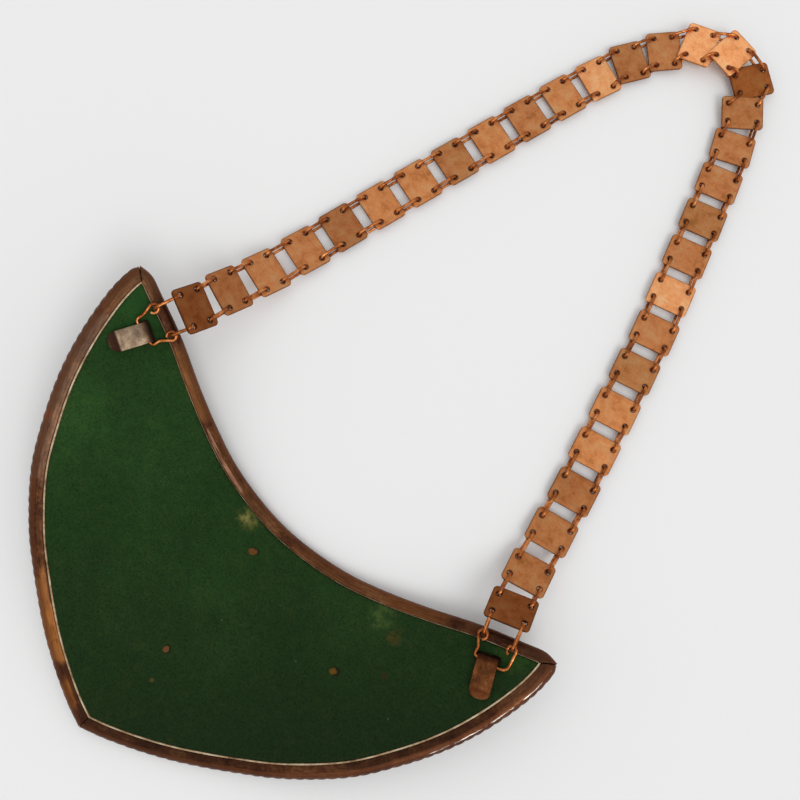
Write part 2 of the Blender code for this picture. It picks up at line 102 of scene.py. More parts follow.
# %% Colours and nodes
def linear(code):
    """An sRGB hex colour as linear RGBA."""
    parts = [int(code[i:i + 2], 16) / 255 for i in (1, 3, 5)]
    return (*[p / 12.92 if p <= 0.04045 else ((p + 0.055) / 1.055) ** 2.4 for p in parts], 1.0)


def feed(tree, node, inputs):
    """Give a node's inputs their values, or link sockets to them."""
    for name, value in inputs.items():
        if isinstance(value, bpy.types.NodeSocket):
            tree.links.new(value, node.inputs[name])
        else:
            node.inputs[name].default_value = value


def add(tree, kind, inputs=None, stops=None, **settings):
    """Add a shader node: settings are its own, inputs are values or sockets, stops a ramp's."""
    made = tree.nodes.new("ShaderNode" + kind)
    for name, value in settings.items():
        setattr(made, name, value)
    feed(tree, made, inputs or {})
    if stops:
        points = made.color_ramp.elements
        while len(points) < len(stops):
            points.new(1.0)
        for point, (place, colour) in zip(points, stops):
            point.position = place
            point.color = linear(colour)
    return made


def new_material(name):
    """A node material: returns it, its tree, its shader and its own coordinates."""
    made = bpy.data.materials.new(name)
    made.use_nodes = True
    tree = made.node_tree
    return made, tree, tree.nodes["Principled BSDF"], add(tree, "TexCoord").outputs["Object"]


def worked(tree, operation, *terms, kind="Math"):
    """A sum on numbers, vectors or sockets; returns the result's socket."""
    return add(tree, kind, dict(enumerate(terms)), operation=operation).outputs["Value"]


def ranged(tree, value, low, high, at_low=0.0, at_high=1.0, curve="LINEAR"):
    """A value stretched so that low and high come to new ends, and held there."""
    ends = {"From Min": low, "From Max": high, "To Min": at_low, "To Max": at_high}
    made = add(tree, "MapRange", {"Value": value, **ends}, interpolation_type=curve)
    return made.outputs["Result"]


def speckled(tree, coords, blot_mm, detail, roughness=0.5):
    """A cloudy noise with blots of about blot_mm."""
    settings = {"Scale": 1 / (blot_mm * MM), "Detail": detail, "Roughness": roughness}
    return add(tree, "TexNoise", {"Vector": coords, **settings}).outputs["Fac"]


def toned(tree, value, stops):
    """A colour ramp along a value."""
    return add(tree, "ValToRGB", {"Fac": value}, stops=stops).outputs["Color"]


def bumped(tree, shader, height, strength, deep_mm):
    """Fine relief that is too small to model."""
    relief = {"Strength": strength, "Distance": deep_mm * MM, "Height": height}
    feed(tree, shader, {"Normal": add(tree, "Bump", relief).outputs["Normal"]})


print("copper brown in linear light:", [round(part, 3) for part in linear("#7B5436")])

# %% [markdown]
# The floor is a pale sheet of paper. The sky is an even light grey, as in a light tent, so that
# the copper has something bright to mirror from every side. One wide, soft sun at the right gives
# the light its direction, and lights the floor evenly, which a lamp close by wouldn't do.

# %% Floor and lights
FLOOR_SIDE = 12.0
SUN_PLACE = Vector((0.55, -0.25, 0.75))
SUN_WIDTH = radians(32)
SUN_POWER = 0.95
SKY_POWER = 0.88

paper, tree, shader, coords = new_material("pale_paper")
feed(tree, shader, {"Base Color": linear("#E6E6E6"), "Roughness": 0.9})
bumped(tree, shader, speckled(tree, coords, 13, 3.0), 0.05, 0.2)


def shaped(name, mesh, surface):
    """Turn a bmesh into an object of the scene."""
    data = bpy.data.meshes.new(name)
    mesh.to_mesh(data)
    mesh.free()
    data.materials.append(surface)
    return placed(name, data)


def blank_face(length, width):
    """A flat rectangle about the origin."""
    mesh = bmesh.new()
    bmesh.ops.create_grid(mesh, x_segments=1, y_segments=1, size=0.5)
    bmesh.ops.scale(mesh, vec=(length, width, 1.0), verts=mesh.verts)
    return mesh


floor = shaped("floor", blank_face(FLOOR_SIDE, FLOOR_SIDE), paper)
floor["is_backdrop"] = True

scene.view_settings.view_transform = "Standard"
sky = bpy.data.worlds.new("light_tent")
sky.use_nodes = True
tent = sky.node_tree
feed(tent, tent.nodes["Background"], {"Color": linear("#F7F7F7"), "Strength": SKY_POWER})
scene.world = sky

lamp_data = bpy.data.lights.new("soft_sun", "SUN")
lamp_data.angle = SUN_WIDTH
lamp_data.energy = SUN_POWER
lamp = placed("soft_sun", lamp_data)
lamp.location = SUN_PLACE
lamp.rotation_euler = (-SUN_PLACE).to_track_quat("-Z", "Y").to_euler()
print("the sun stands", round(degrees(asin(SUN_PLACE.normalized().z))), "degrees high")

# %% [markdown]
# ## The flat pattern
#
# A smith lays a gorget out flat: a lower edge that runs in two bows from a point to the corners,
# and a hollow neck edge between the corners. Half of each edge is a short table of shares, and a
# smooth line goes through it. Every piece of the back is cut to this pattern, moved in by its own
# amount, and only then bent with the sheet.

# %% Sizes and edges
SPAN = 215.6 * MM
TIP_DEPTH = 138.3 * MM
NECK_DEPTH = 33.3 * MM
TIP_LEAN = -4.5 * MM
BOW_RISE = 22.0 * MM
SIDE_SHAPE = (
    # share of tip depth, share of half span
    (1, 0), (0.974, 0.097), (0.93, 0.219), (0.877, 0.338), (0.802, 0.476), (0.714, 0.616),
    (0.592, 0.76), (0.464, 0.86), (0.348, 0.93), (0.23, 0.978), (0.11, 1.008), (0.03, 1.012),
    (0, 1),
)
NECK_SHAPE = (
    # share of half span, share of neck depth
    (0, 1), (0.14, 0.967), (0.287, 0.874), (0.43, 0.715), (0.574, 0.514), (0.74, 0.252),
    (0.889, 0.06), (0.95, -0.012), (1, 0),
)


def lengths_along(line):
    """How far each point of the line is from its start."""
    lengths = [0.0]
    for a, b in zip(line, line[1:]):
        lengths.append(lengths[-1] + (b - a).length)
    return lengths


def point_at(line, lengths, distance):
    """The point at a distance from the line's start."""
    index = 0
    while index < len(line) - 2 and lengths[index + 1] < distance:
        index += 1
    share = (distance - lengths[index]) / (lengths[index + 1] - lengths[index])
    return line[index].lerp(line[index + 1], min(share, 1.0))


def evenly(line, count):
    """The line as count steps of equal length."""
    lengths = lengths_along(line)
    return [point_at(line, lengths, lengths[-1] * step / count) for step in range(count + 1)]


def heading_at(line, index):
    """The line's direction at one of its points."""
    return (line[min(index + 1, len(line) - 1)] - line[max(index - 1, 0)]).normalized()


def smooth_line(points, count):
    """Even steps along a smooth curve through the points."""
    points = [Vector(p) for p in points]
    ring = [points[0] * 2 - points[1], *points, points[-1] * 2 - points[-2]]
    fine = [points[0]]
    for a, b, c, d in zip(ring, ring[1:], ring[2:], ring[3:]):
        for step in range(1, 9):
            t = step / 8
            fine.append(
                (b * 2 + (c - a) * t + (a * 2 - b * 5 + c * 4 - d) * t * t
                 + (b * 3 - a - c * 3 + d) * t ** 3) / 2
            )
    return evenly(fine, count)


right_edge = smooth_line([(w * SPAN / 2, -d * TIP_DEPTH) for d, w in SIDE_SHAPE], 360)
half_neck = [(w * SPAN / 2, -d * NECK_DEPTH) for w, d in NECK_SHAPE]
neck_edge = smooth_line([*reversed(half_neck), *[(-x, y) for x, y in half_neck[1:]]], 300)
left_edge = [Vector((-p.x, p.y)) for p in reversed(right_edge)]
EDGE_STEP = (right_edge[1] - right_edge[0]).length
print("steps along a lower edge are", round(EDGE_STEP / MM, 2), "mm")

# %% [markdown]
# A hem, a strip of edging and the felt all follow the edge at a distance. Moving a line in means
# pushing each point along the line's own left hand side. Where two moved edges meet, the first
# crossing is the new corner.

# %% Moving an edge in
def moved_in(line, inset, reach=None):
    """The line moved to its left, with both ends carried on past the corners."""
    result = []
    for index, point in enumerate(line):
        run = heading_at(line, index)
        result.append(point + Vector((-run.y, run.x)) * inset)
    reach = reach or abs(inset) + MM
    result[0] = result[0] - (result[1] - result[0]).normalized() * reach
    result[-1] = result[-1] + (result[-1] - result[-2]).normalized() * reach
    return result


def trimmed(first, second):
    """Both lines cut at the corner where they meet."""
    for i in range(len(first) - 2, -1, -1):
        for j in range(len(second) - 1):
            a, ab = first[i], first[i + 1] - first[i]
            c, cd = second[j], second[j + 1] - second[j]
            turn = ab.cross(cd)
            if abs(turn) > 1e-15:
                s, t = (c - a).cross(cd) / turn, (c - a).cross(ab) / turn
                if 0 <= s <= 1 and 0 <= t <= 1:
                    corner = a + ab * s
                    return [*first[:i + 1], corner], [corner, *second[j + 1:]]
    raise ValueError("two edges never meet")


def pattern(side_inset, neck_inset, side_steps=160, neck_steps=200):
    """The whole outline moved in: tip, right side, neck, left side and back to the tip."""
    right, neck = trimmed(moved_in(right_edge, side_inset), moved_in(neck_edge, neck_inset))
    neck, left = trimmed(neck, moved_in(left_edge, side_inset))
    left, right = trimmed(left, right)
    sides = (right, side_steps), (neck, neck_steps), (left, side_steps)
    return [point for line, steps in sides for point in evenly(line, steps)[:-1]]


def corners_of(side_inset, neck_inset):
    """Tip, right corner and left corner of the moved pattern."""
    loop = pattern(side_inset, neck_inset, 4, 4)
    return loop[0], loop[4], loop[8]


print("points in one outline:", len(pattern(0.0, 0.0)))

# %% [markdown]
# ## Bending with the sheet
#
# The gorget is bowed like a barrel so that it lies on the chest. A flat piece is bent by moving
# each vertex to the same place on a cylinder, with its height kept as the distance square to the
# sheet. The whole back then tips by 3.2 degrees, because it rests on one side of its bow.

# %% Bend and place
BOW_RADIUS = ((SPAN / 2) ** 2 + BOW_RISE ** 2) / (2 * BOW_RISE)
# The frame's origin is the bottom centre of the whole box, chain and all.
ORIGIN_X, ORIGIN_Y = -1.155 * MM, -58.856 * MM
BACK_TIP = radians(3.2)
RESTS = Matrix.Translation((ORIGIN_X, ORIGIN_Y, 2.938 * MM)) @ Matrix.Rotation(BACK_TIP, 4, "Y")
CHAIN_SHIFT = Matrix.Translation((ORIGIN_X, ORIGIN_Y, 0.533 * MM))


def on_back(flat):
    """Where a point of the flat pattern goes; its z is the height above the sheet's middle."""
    x = flat.x + TIP_LEAN * (flat.y / TIP_DEPTH) ** 2
    turn = asin(x / BOW_RADIUS)
    reach = BOW_RADIUS - flat.z
    return RESTS @ Vector((sin(turn) * reach, flat.y, BOW_RADIUS - cos(turn) * reach))


def bend(mesh):
    """Lay a flat mesh on the bowed sheet."""
    for vertex in mesh.verts:
        vertex.co = on_back(vertex.co)


print("radius of the bow in mm:", round(BOW_RADIUS / MM))

# %% [markdown]
# Every piece ends the same way: normals made to point outwards, a material, smooth shading with
# sharp edges kept, and a ride on the CAD body. One function does it.

# %% Finish a piece
def piece(name, mesh, surface, replaces=(), sharp=40.0, recalc=True):
    """Turn a bmesh into an object that rides on the gorget."""
    if recalc:
        bmesh.ops.recalc_face_normals(mesh, faces=mesh.faces)
    made = shaped(name, mesh, surface)
    made.data.shade_smooth()
    made.data.set_sharp_from_angle(angle=radians(sharp))
    if replaces:
        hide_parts(*replaces)
    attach(made, "root")
    return made


def walled(made, thickness, offset=-1.0):
    """Give a thin skin its real wall."""
    wall = made.modifiers.new("wall", "SOLIDIFY")
    wall.thickness = thickness
    wall.offset = offset
    wall.use_even_offset = True
    return made


# %% [markdown]
# ## Tarnished copper
#
# The gorget is copper that was once gilt or lacquered and has browned with handling. Such a
# surface is a patchwork: broad clouds of tarnish some centimetres wide, small mottling of a
# millimetre or two, and pale rubs where fingers kept it clean. Two noises, one coarse and one
# fine, are added and sent through a colour ramp. The same noises drive the roughness, because
# tarnish is duller than bare metal.

# %% Tarnish
WOBBLE = 1.3
TONE_LOW, TONE_HIGH = 0.52, 0.93


def patch(tree, coords, place_mm, radius_mm, fuzz, wobble=None, unit=MM):
    """A soft round mask about a place, with a ragged edge if it is given a noise."""
    place, radius = [c * unit for c in place_mm], radius_mm * unit
    away = worked(tree, "DISTANCE", coords, place, kind="VectorMath")
    inner, outer = radius * (1.0 - fuzz), radius
    if wobble:
        away = worked(tree, "MULTIPLY_ADD", wobble, radius * WOBBLE, away)
        inner, outer = inner + radius * WOBBLE / 2, outer + radius * WOBBLE / 2
    return ranged(tree, away, inner, outer, 1.0, 0.0, "SMOOTHSTEP")


def blended(tree, mask, under, over, blend="MIX"):
    """One colour over another through a mask; returns the result's socket."""
    mixed = add(tree, "Mix", {0: mask, 6: under, 7: over}, data_type="RGBA", blend_type=blend)
    return mixed.outputs[2]


def painted(tree, mask, strength, under, code):
    """A hex colour laid on through a mask, at some strength."""
    return blended(tree, worked(tree, "MULTIPLY", mask, strength), under, linear(code))


def tarnished(name, tones, broad_mm, fine_mm, gloss=(0.34, 0.56), metallic=0.9, relief_mm=0.06):
    """Copper under a brown skin: tones go from the darkest tarnish to the palest rub."""
    surface, tree, shader, coords = new_material(name)
    broad = speckled(tree, coords, broad_mm, 5.0, 0.6)
    fine = speckled(tree, coords, fine_mm, 4.0, 0.65)
    both = worked(tree, "MULTIPLY_ADD", fine, 0.45, broad)
    steps = [(step / (len(tones) - 1), tone) for step, tone in enumerate(tones)]
    colour = toned(tree, ranged(tree, both, TONE_LOW, TONE_HIGH), steps)
    rough = ranged(tree, both, TONE_LOW, TONE_HIGH, gloss[1], gloss[0])
    feed(tree, shader, {"Base Color": colour, "Roughness": rough, "Metallic": metallic})
    bumped(tree, shader, both, 0.5, relief_mm)
    return surface, tree, shader, coords, colour


# %% [markdown]
# The hems are the darkest copper. The photograph shows where their brown skin has worn: golden
# patches on the left of the tip, and browner stretches between them. Some patches are painted light
# instead: a pale painted highlight on the upper left hem, which faces the sun, a small orange one
# below it, and painted shade on the lower right hem, which faces away. The bottom is made darker
# too. Each is a row of a table, and its border is made ragged by a noise.

# %% Hem copper
hem_copper, tree, shader, coords, colour = tarnished(
    "tarnished_hem_copper", ("#2B170C", "#472919", "#603C24", "#7B5436"), 14.0, 1.4
)
ragged = speckled(tree, coords, 6, 3.0)
WEAR_AND_LIGHT_PATCHES = (
    # place in mm, radius mm, colour, strength
    # (-94, -108) and (-94, -122.4) are painted highlights, (90, -116) is painted shade
    ((-94, -108, 27.5), 40, "#745C4C", 0.58), ((-47, -170.5, 11.8), 11, "#9C683A", 0.85),
    ((-37.5, -176.8, 9.9), 8.5, "#A26A38", 0.85), ((-30.5, -180.6, 8.7), 6.5, "#A26A38", 0.85),
    ((-15.6, -189.2, 6.5), 7, "#935A2A", 0.8), ((-94, -122.4, 26.5), 3.6, "#9A4A20", 0.6),
    ((-103, -66, 32), 16, "#7A583C", 0.5), ((104, -70, 18), 15, "#74503A", 0.3),
    ((56, -76, 8), 18, "#85552F", 0.55), ((90, -116, 15), 32, "#2C1A0F", 0.45),
    ((-62, -72, 16), 22, "#8A5C34", 0.5), ((-14, -99, 7), 14, "#7C5638", 0.4),
    ((25, -88, 6), 26, "#7A4E2E", 0.4), ((15, -186, 6), 34, "#2A180D", 0.5),
)
for place, radius, rub, strength in WEAR_AND_LIGHT_PATCHES:
    mask = patch(tree, coords, place, radius, 0.4, ragged)
    colour = painted(tree, mask, strength, colour, rub)
print("rubs on the hems:", len(WEAR_AND_LIGHT_PATCHES))

# %% [markdown]
# Handling leaves long streaks on a hem, which run with the edge. They need a chart that follows the
# rim: one direction along it, one across, in units of 20 mm. The sweep below writes that chart as a
# UV map. A noise that is squeezed across the rim becomes streaks. The same chart finds the outer
# flank, which is browner and darker than the flat: its own tone, with painted shade where it slopes
# down to the edge. It also finds the dark tarnish left beside the felt.

# %% Streaks along the hems
CHART = 20.0 * MM
FLANK_STARTS, FLANK_FULL = 2.6 * MM, 3.4 * MM
rim_chart = add(tree, "UVMap", uv_map="rim_mm").outputs["UV"]
squeezed = add(tree, "Mapping", {"Vector": rim_chart, "Scale": (2.2, 26.0, 1.0)}).outputs["Vector"]
grain = {"Vector": squeezed, "Scale": 1.6, "Detail": 5.0, "Roughness": 0.65}
streaks = add(tree, "TexNoise", grain).outputs["Fac"]
worn = toned(tree, streaks, [(0.32, "#A58E7E"), (0.50, "#DED3C9"), (0.68, "#FFFFFF")])
colour = blended(tree, 0.85, colour, worn, "MULTIPLY")
across = add(tree, "SeparateXYZ", {"Vector": rim_chart}).outputs["Y"]
flank = ranged(tree, across, FLANK_STARTS / CHART, FLANK_FULL / CHART, curve="SMOOTHSTEP")
# the outer flank: its own browner tone, with painted shade where it slopes down
colour = painted(tree, flank, 0.5, colour, "#643820")
EDGE_TARNISH = (
    # place in mm, radius mm, width from the felt in mm
    ((-51, -166.5, 12.8), 11, 0.9), ((-17, -186, 6.7), 10.5, 1.4), ((-8, -190.5, 5.8), 6, 2),
)
for place, radius, width in EDGE_TARNISH:
    stretch = patch(tree, coords, place, radius, 0.4, ragged)
    low, high = (width - 0.25) * MM / CHART, (width + 0.25) * MM / CHART
    beside = ranged(tree, across, low, high, 0.85, 0.0)
    colour = painted(tree, stretch, beside, colour, "#331C10")
print("the flank starts", round(FLANK_STARTS / MM, 1), "mm from the felt")

# %% [markdown]
# Two thin painted highlights lie on the hems as well: a rosy line where the neck hem folds down to
# the felt, and white slivers far out on the right flank. The streaks break both of them up.

# %% Painted highlights
PAINTED_HIGHLIGHTS = (
    # place in mm, radius mm, fuzz, mm from the felt, half width mm, streaks, strength, colour
    ((-37, -90, 10), 17, 0.5, 0.9, 0.55, (0.38, 0.62), 0.7, "#B48468"),
    ((91.5, -89.5, 14.5), 30, 0.3, 4.6, 0.2, (0.46, 0.54), 1, "#F2E8DC"),
)
# each row is a painted highlight, broken up by the streaks
for place, radius, fuzz, distance, half, (low, high), strength, light in PAINTED_HIGHLIGHTS:
    near = patch(tree, coords, place, radius, fuzz, ragged)
    line = worked(tree, "COMPARE", across, distance * MM / CHART, half * MM / CHART)
    broken = ranged(tree, streaks, low, high, 0.0, strength)
    colour = painted(tree, worked(tree, "MULTIPLY", near, line), broken, colour, light)
feed(tree, shader, {"Base Color": colour})
print("thin lights on the hems:", len(PAINTED_HIGHLIGHTS))

# %% [markdown]
# ## The copper sheet
#
# The front is one sheet of 0.8 mm copper. Its outline becomes a single face, which is then cut
# into squares of 3 mm with bisect planes, so that it can take the bend. The hidden front keeps
# a plain surface.

# %% Gorget sheet
SHEET_THICKNESS = 0.8 * MM
SHEET_INSETS = 1.2 * MM, 1.0 * MM
SHEET_CELL = 3.0 * MM


def outlined_face(loop, holes=()):
    """A flat bmesh face inside a closed line of points, less some closed holes."""
    mesh = bmesh.new()
    for line in (loop, *holes):
        ring = bmesh.ops.create_circle(mesh, segments=len(line), radius=1.0)["verts"]
        for vertex, point in zip(ring, line):
            vertex.co = (point.x, point.y, 0.0)
    bmesh.ops.triangle_fill(mesh, use_beauty=True, edges=mesh.edges[:])
    return mesh


def cut(mesh, spot, normal, clear=False):
    """Cut a mesh along a plane; clear also takes away what lies beyond it."""
    bmesh.ops.bisect_plane(
        mesh, geom=mesh.verts[:] + mesh.edges[:] + mesh.faces[:], dist=1e-7,
        plane_co=spot, plane_no=normal, clear_outer=clear,
    )


def gridded(mesh, cell):
    """Cut a flat face into square cells."""
    for axis, normal in enumerate((Vector((1.0, 0.0, 0.0)), Vector((0.0, 1.0, 0.0)))):
        low = min(v.co[axis] for v in mesh.verts)
        high = max(v.co[axis] for v in mesh.verts)
        for step in range(1, int((high - low) / cell) + 1):
            cut(mesh, normal * (low + step * cell), normal)
    return mesh


sheet_mesh = gridded(outlined_face(pattern(*SHEET_INSETS)), SHEET_CELL)
for vertex in sheet_mesh.verts:
    vertex.co.z = SHEET_THICKNESS / 2
print("faces of the bowed sheet:", len(sheet_mesh.faces))
bend(sheet_mesh)
gorget_sheet = piece("gorget_sheet", sheet_mesh, hem_copper, ["gorget_plate"])
walled(gorget_sheet, SHEET_THICKNESS)

# %% [markdown]
# ## Hems and rope border
#
# The edge of the sheet is folded back as a hem, and round the two lower edges the front carries a
# border chased like a twisted rope. From behind one sees the flat hem, then the dark outer flank
# where the rope shows as small scallops. A rim like this is a sweep: a short section, written as
# inset and height, is carried along the edge. Here it goes the other way round, because a long
# row of vertices is easier to bend: the edge is the row, and it is extruded once for each line of
# the section.

# %% Sweep helper
def layers_of(mesh):
    """Two numbers that each vertex keeps: its mark in the row and the stop it was carried to."""
    kept = mesh.verts.layers.float
    for name in ("mark", "stop"):
        if name not in kept:
            kept.new(name)
    return kept["mark"], kept["stop"]


def marked_row(mesh, cuts):
    """A straight row of vertices, each marked with its share of the way."""
    mark, _ = layers_of(mesh)
    start, end = mesh.verts.new((0.0, 0.0, 0.0)), mesh.verts.new((1.0, 0.0, 0.0))
    edge = mesh.edges.new((start, end))
    bmesh.ops.subdivide_edges(mesh, edges=[edge], cuts=cuts)
    for vertex in mesh.verts:
        vertex[mark] = vertex.co.x
    return mesh.edges[:]


def marked_ring(mesh, count):
    """A closed ring of vertices, each marked with its number."""
    mark, _ = layers_of(mesh)
    ring = bmesh.ops.create_circle(mesh, segments=count, radius=1.0)["verts"]
    for index, vertex in enumerate(ring):
        vertex[mark] = index
    return list({edge for vertex in ring for edge in vertex.link_edges})


def carried(mesh, row, stops, place):
    """Extrude a row of edges through some stops, each vertex going where place says."""
    mark, reached = layers_of(mesh)
    for vertex in {v for edge in row for v in edge.verts}:
        vertex.co = place(vertex[mark], 0)
    for stop in range(1, stops):
        made = bmesh.ops.extrude_edge_only(mesh, edges=row)["geom"]
        fresh = {item for item in made if isinstance(item, bmesh.types.BMVert)}
        for vertex in fresh:
            vertex.co = place(vertex[mark], stop)
            vertex[reached] = stop
        edges = [item for item in made if isinstance(item, bmesh.types.BMEdge)]
        row = [edge for edge in edges if fresh.issuperset(edge.verts)]
    return row


# %% [markdown]
# The rope's strands are about 4 mm apart and lean by 45 degrees. A strand is round, so its relief
# follows the sine of a half turn, with sharp valleys between. The valleys only cut in, so the rim
# never grows past the CAD's edge.

# %% Rims
ROPE_PITCH = 4.0 * MM
ROPE_DEPTH = 0.45 * MM
ROPE_FADE = 24
HAND_MARKS = 0.07 * MM
HAND_LONG, HAND_WIDE = 9.0 * MM, 3.0 * MM
RUN_OUT = 9.0 * MM
RIM_WALL = 0.55 * MM
SLIT = 0.3 * MM
SIDE_RIM = (
    # inset mm, height mm, share of the rope's relief
    (5.2, 2.2, 0), (5.12, 2.38, 0), (4.9, 2.46, 0), (4, 2.42, 0), (3.1, 2.36, 0), (2.55, 2.3, 0),
    (2.25, 2.12, 0), (1.85, 2.02, 0), (1.3, 1.72, 0.1), (0.75, 1.2, 0.3), (0.3, 0.5, 0.6),
    (0.05, -0.3, 0.9), (0.05, -0.95, 1), (0.45, -1.55, 1), (1.1, -1.92, 1), (1.9, -2, 1),
    (2.8, -1.85, 1), (3.6, -1.4, 0.8), (4.2, -0.85, 0.4), (4.65, -0.42, 0),
)
NECK_RIM = (
    (3.9, 2.2, 0), (3.82, 2.38, 0), (3.6, 2.46, 0), (2.8, 2.44, 0), (1.9, 2.36, 0), (1.3, 2.2, 0),
    (0.8, 1.85, 0), (0.35, 1.3, 0), (0.08, 0.6, 0), (0, -0.2, 0), (0.08, -0.9, 0), (0.35, -1.5, 0),
    (0.8, -1.9, 0), (1.3, -1.95, 0), (1.8, -1.6, 0), (2.2, -1, 0), (2.4, -0.42, 0),
)


def rim(name, line, section, ends):
    """One folded edge of the sheet, with its section carried along the line."""
    spots = [Vector(row[:2]) * MM for row in section]
    lines = []
    for index, across in enumerate(lengths_along(spots)):
        run = heading_at(spots, index)
        lines.append((spots[index], Vector((run.y, -run.x)), section[index][2], across))
    span = len(line) - 1

    def place(mark, stop):
        spot, out, share, across = lines[stop]
        index = round(mark * (span + 2)) - 1
        along = index * EDGE_STEP
        fade = min(max(min(index, span - index) / ROPE_FADE, 0.0), 1.0)
        strand = abs(sin(pi * (along + across) / ROPE_PITCH))
        relief = out * (strand ** 0.7 - 1) * ROPE_DEPTH * share * fade
        hand = noise.noise(Vector((along / HAND_LONG, across / HAND_WIDE, len(name))))
        inset, height = spot + relief + out * min(hand * HAND_MARKS, 0.0)
        near = min(max(index, 0), span)
        run = heading_at(line, near)
        point = line[near] + Vector((-run.y, run.x)) * inset
        point += run * (index - near) * RUN_OUT
        return Vector((point.x, point.y, height))

    mesh = bmesh.new()
    carried(mesh, marked_row(mesh, span + 1), len(lines), place)
    for outer, inner in ends:
        away = Vector((inner.y - outer.y, outer.x - inner.x, 0.0)).normalized()
        if away.dot((line[span // 2] - outer).to_3d()) > 0:
            away = -away
        cut(mesh, outer.to_3d() - away * SLIT / 2, away, clear=True)
    mark, reached = layers_of(mesh)
    chart = mesh.loops.layers.uv.new("rim_mm")
    for face in mesh.faces:
        for corner in face.loops:
            along = corner.vert[mark] * span * EDGE_STEP
            across = lines[round(corner.vert[reached])][3]
            corner[chart].uv = (along / CHART, across / CHART)
    bend(mesh)
    made = piece(name, mesh, hem_copper, ["gorget_plate"], sharp=60.0)
    print(name, "has", len(made.data.polygons), "faces")
    return walled(made, RIM_WALL)


inner_corners = corners_of(SIDE_RIM[0][0] * MM, NECK_RIM[0][0] * MM)
tip_cut, right_cut, left_cut = zip(corners_of(0.0, 0.0), inner_corners)
rim("hem_right", right_edge, SIDE_RIM, (tip_cut, right_cut))
rim("hem_left", left_edge, SIDE_RIM, (tip_cut, left_cut))
rim("hem_neck", neck_edge, NECK_RIM, (right_cut, left_cut))

# %% [markdown]
# ## Cream edging
#
# A thin cream band stands between the hems and the felt. It is a closed ring of four lines, so
# the same sweep makes it: a ring of vertices is carried up, across and down.

# %% Edging
edging_cotton, tree, shader, coords = new_material("cream_cotton_edging")
grime = speckled(tree, coords, 6, 5.0, 0.7)
soiled = toned(tree, grime, [(0.32, "#6B4C2F"), (0.48, "#A58A68"), (0.66, "#CDBB9C")])
feed(tree, shader, {"Base Color": soiled, "Roughness": 0.85})
bumped(tree, shader, speckled(tree, coords, 0.5, 2.0), 0.5, 0.1)

EDGING = (
    # side inset mm, neck inset mm, height mm
    (5.28, 3.98, 1.2), (5.28, 3.98, 2.45), (5.45, 4.1, 2.62), (5.75, 4.32, 2.58), (5.9, 4.45, 2.4),
    (5.9, 4.45, 1.2),
)
EDGING_WAVE = 0.08 * MM
edging_lines = [pattern(side * MM, neck * MM) for side, neck, _ in EDGING]


def edging_place(mark, stop):
    """A point of the edging; its upper lines wander a little, as a soft band does."""
    point = edging_lines[stop][round(mark)]
    height = EDGING[stop][2] * MM
    if 0 < stop < len(EDGING) - 1:
        height += EDGING_WAVE * noise.noise(Vector((mark / 7, stop, 0.0)))
    return Vector((point.x, point.y, height))


edging_mesh = bmesh.new()
first = marked_ring(edging_mesh, len(edging_lines[0]))
last = carried(edging_mesh, first, len(EDGING), edging_place)
bmesh.ops.bridge_loops(edging_mesh, edges=first + last)
bend(edging_mesh)
edging = piece("edging_band", edging_mesh, edging_cotton, ["lining_edging"])
print("faces of the edging:", len(edging.data.polygons))

# %% [markdown]
# ## Wool felt
#
# Felt is matted wool with no weave, so its surface is a fine, even fuzz. Its fibres are about
# 0.02 mm thick and can't show at this distance, so the fuzz is drawn as flecks of 0.8 mm. A soft
# sheen stands for the fibre ends that catch the light.

# %% Felt material
DARKER_END = (-0.687, 0.726, 0.0)
felt_wool, tree, shader, coords = new_material("green_wool_felt")
fuzz = speckled(tree, coords, 0.8, 4.0, 0.75)
clouds = speckled(tree, coords, 38, 4.0, 0.55)
small = speckled(tree, coords, 4, 5.0, 0.7)
cloudy = worked(tree, "MULTIPLY_ADD", small, 0.5, clouds)
wool = toned(tree, cloudy, [(0.50, "#193412"), (0.75, "#213F18"), (1.0, "#2A4D20")])
slope = worked(tree, "DOT_PRODUCT", coords, DARKER_END, kind="VectorMath")
wool = blended(tree, ranged(tree, slope, -0.150, -0.03), linear("#15280D"), wool)
wool = blended(tree, ranged(tree, small, 0.52, 0.72, 0.0, 0.22), wool, linear("#3A3A1A"))
fleck = toned(tree, fuzz, [(0.34, "#8E8E8E"), (0.50, "#E6E6E6"), (0.64, "#FFFFFF")])
wool = blended(tree, 0.8, wool, fleck, "MULTIPLY")
bumped(tree, shader, fuzz, 0.55, 0.25)
feed(tree, shader, {
    "Roughness": 0.95, "Specular IOR Level": 0.15, "Sheen Weight": 0.12,
    "Sheen Roughness": 0.5, "Sheen Tint": linear("#4F8A45"),
})
print("nodes of the felt:", len(tree.nodes))

# %% [markdown]
# Stains and moth holes are patches too. A hole is two of them: a dark ring, where the felt's cut
# edge lies in its own shade, and the brown of the copper inside it. The softest stains are broken
# up by the felt's own mottling.

